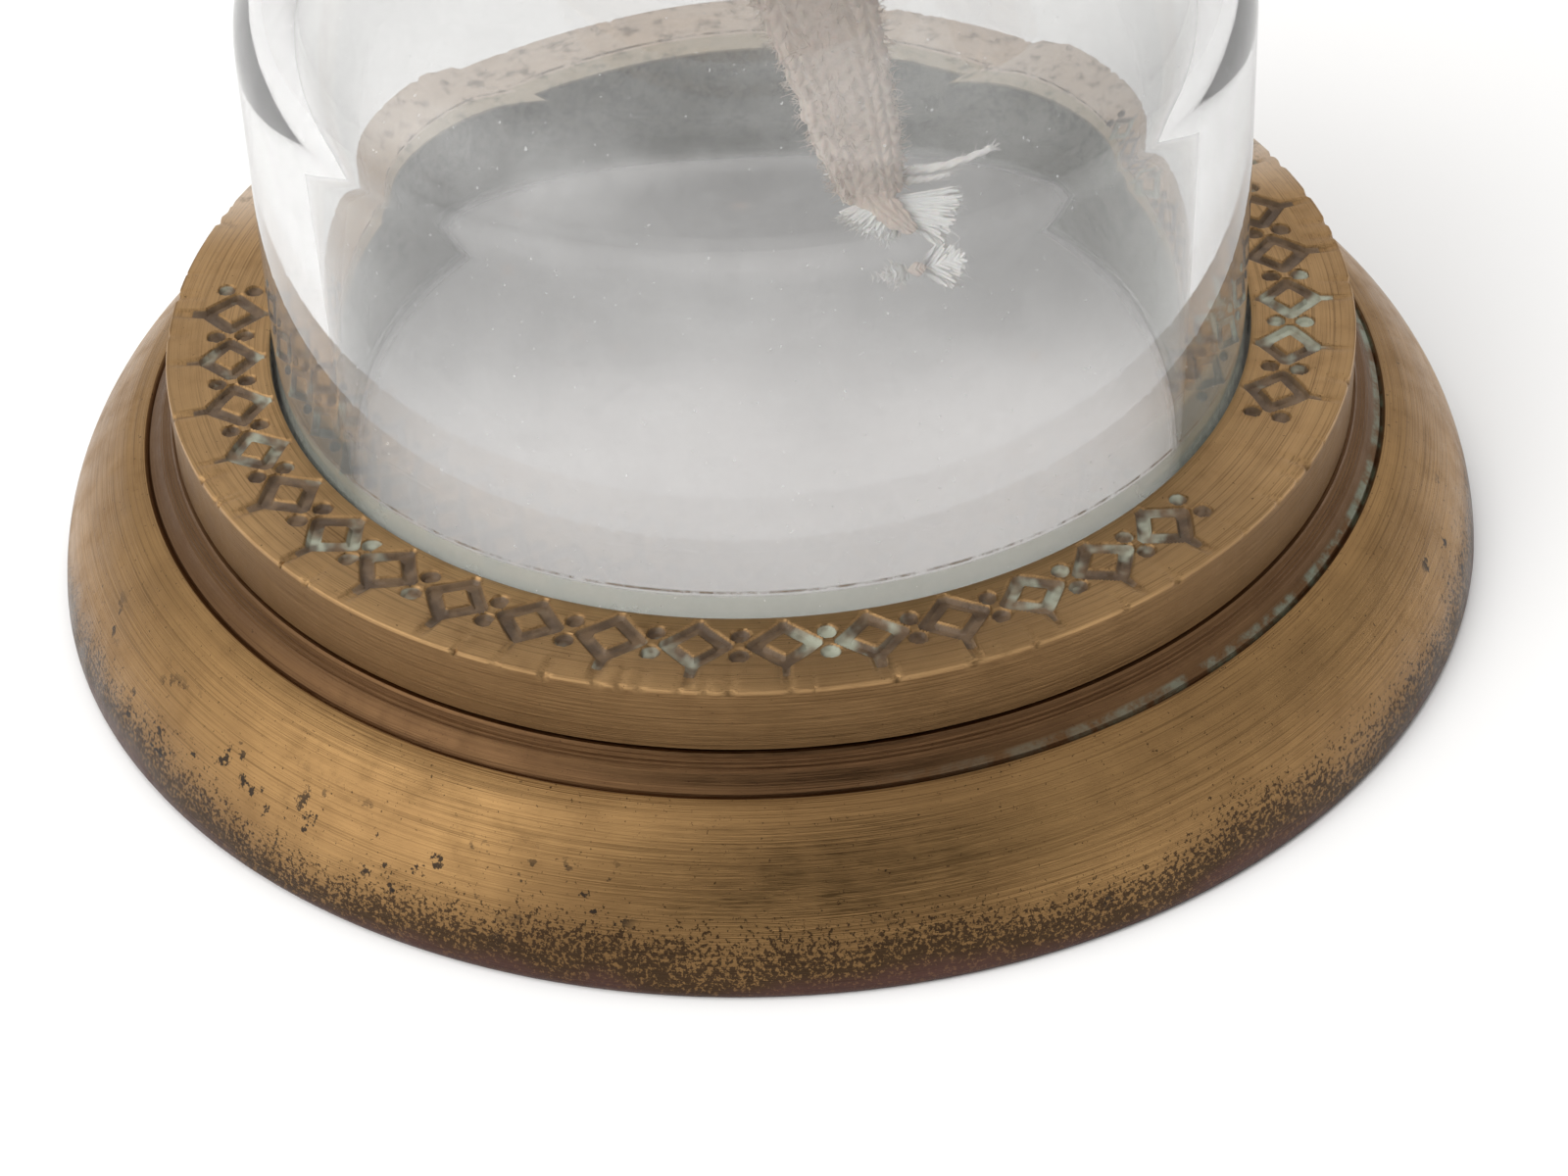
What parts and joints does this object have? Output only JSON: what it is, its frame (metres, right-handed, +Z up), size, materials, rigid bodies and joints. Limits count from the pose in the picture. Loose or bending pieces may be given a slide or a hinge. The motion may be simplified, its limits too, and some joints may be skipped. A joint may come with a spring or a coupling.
{
  "type": "alcohol burner",
  "caption": "Flat-wick spirit burner: thick glass font standing in a turned brass foot, with a screw-in burner, geared wick winder and hinged snuffer cap.",
  "frame": {"origin": "middle of the underside, on the table", "axes": "+Z up along the font's axis; the wick's flat face looks along -Y and the winder's knob is towards +X"},
  "size_m": [0.127, 0.127, 0.1214],
  "materials": {
    "foot_brass": "aged satin, turned",
    "ring_brass": "aged satin, turned",
    "plate_brass": "aged sheet",
    "iron": "rough cast",
    "baize": "wool baize",
    "plaster": "cast plaster, matt",
    "font_glass": "clear pressed glass with a dusty film",
    "leather": "oiled washer leather",
    "burner_brass": "aged satin, turned and milled",
    "tube_brass": "heat-toned sheet",
    "screw_brass": "aged",
    "pin_steel": "plain steel pin",
    "winder_brass": "aged satin, milled",
    "wick_cotton": "flat woven cotton",
    "cap_brass": "aged satin, turned"
  },
  "bodies": {
    "base": {"base_foot": "foot_brass", "base_weight": "iron", "base_plate": "plate_brass", "baize_pad": "baize", "font_ring": "ring_brass", "seat_bed": "plaster", "ring_screws": "screw_brass", "plate_screws": "screw_brass"},
    "font": {"font": "font_glass", "neck_cement": "plaster", "neck_collar": "burner_brass", "collar_washer": "leather"},
    "burner": {"burner_base": "burner_brass", "wick_tube": "tube_brass", "spur_housing": "tube_brass", "cap_seat": "burner_brass", "shaft_post": "burner_brass", "hinge_bracket": "burner_brass", "deck_screws": "screw_brass", "hinge_pin": "pin_steel"},
    "winder": {"winder_shaft": "pin_steel", "spur_wheels": "winder_brass", "winder_knob": "winder_brass", "knob_nut": "winder_brass"},
    "wick": {"wick": "wick_cotton", "wick_knot": "wick_cotton", "wick_tail": "wick_cotton"},
    "snuffer": {"snuffer_cap": "cap_brass", "cap_finial": "cap_brass", "snuffer_arm": "cap_brass", "arm_rivets": "screw_brass"}
  },
  "joints": [
    {"name": "font_lift", "type": "slide", "parent": "base", "child": "font", "axis": [0, 0, 1], "range_m": [0, 0.04]},
    {"name": "burner_lift", "type": "slide", "parent": "font", "child": "burner", "axis": [0, 0, 1], "range_m": [0, 0.012]},
    {"name": "winder_turn", "type": "hinge", "parent": "burner", "child": "winder", "pos_m": [0, -0.00545, 0.092], "axis": [1, 0, 0], "range_deg": [-40, 61]},
    {"name": "wick_feed", "type": "slide", "parent": "burner", "child": "wick", "axis": [0, 0, 1], "range_m": [-0.003, 0.0046]},
    {"name": "snuffer_swing", "type": "hinge", "parent": "burner", "child": "snuffer", "pos_m": [-0.0185, 0, 0.097], "axis": [0, -1, 0], "range_deg": [0, 120]}
  ],
  "couplings": [
    {"joint": "wick_feed", "follows": "winder_turn", "m_per_rad": 0.0042}
  ]
}
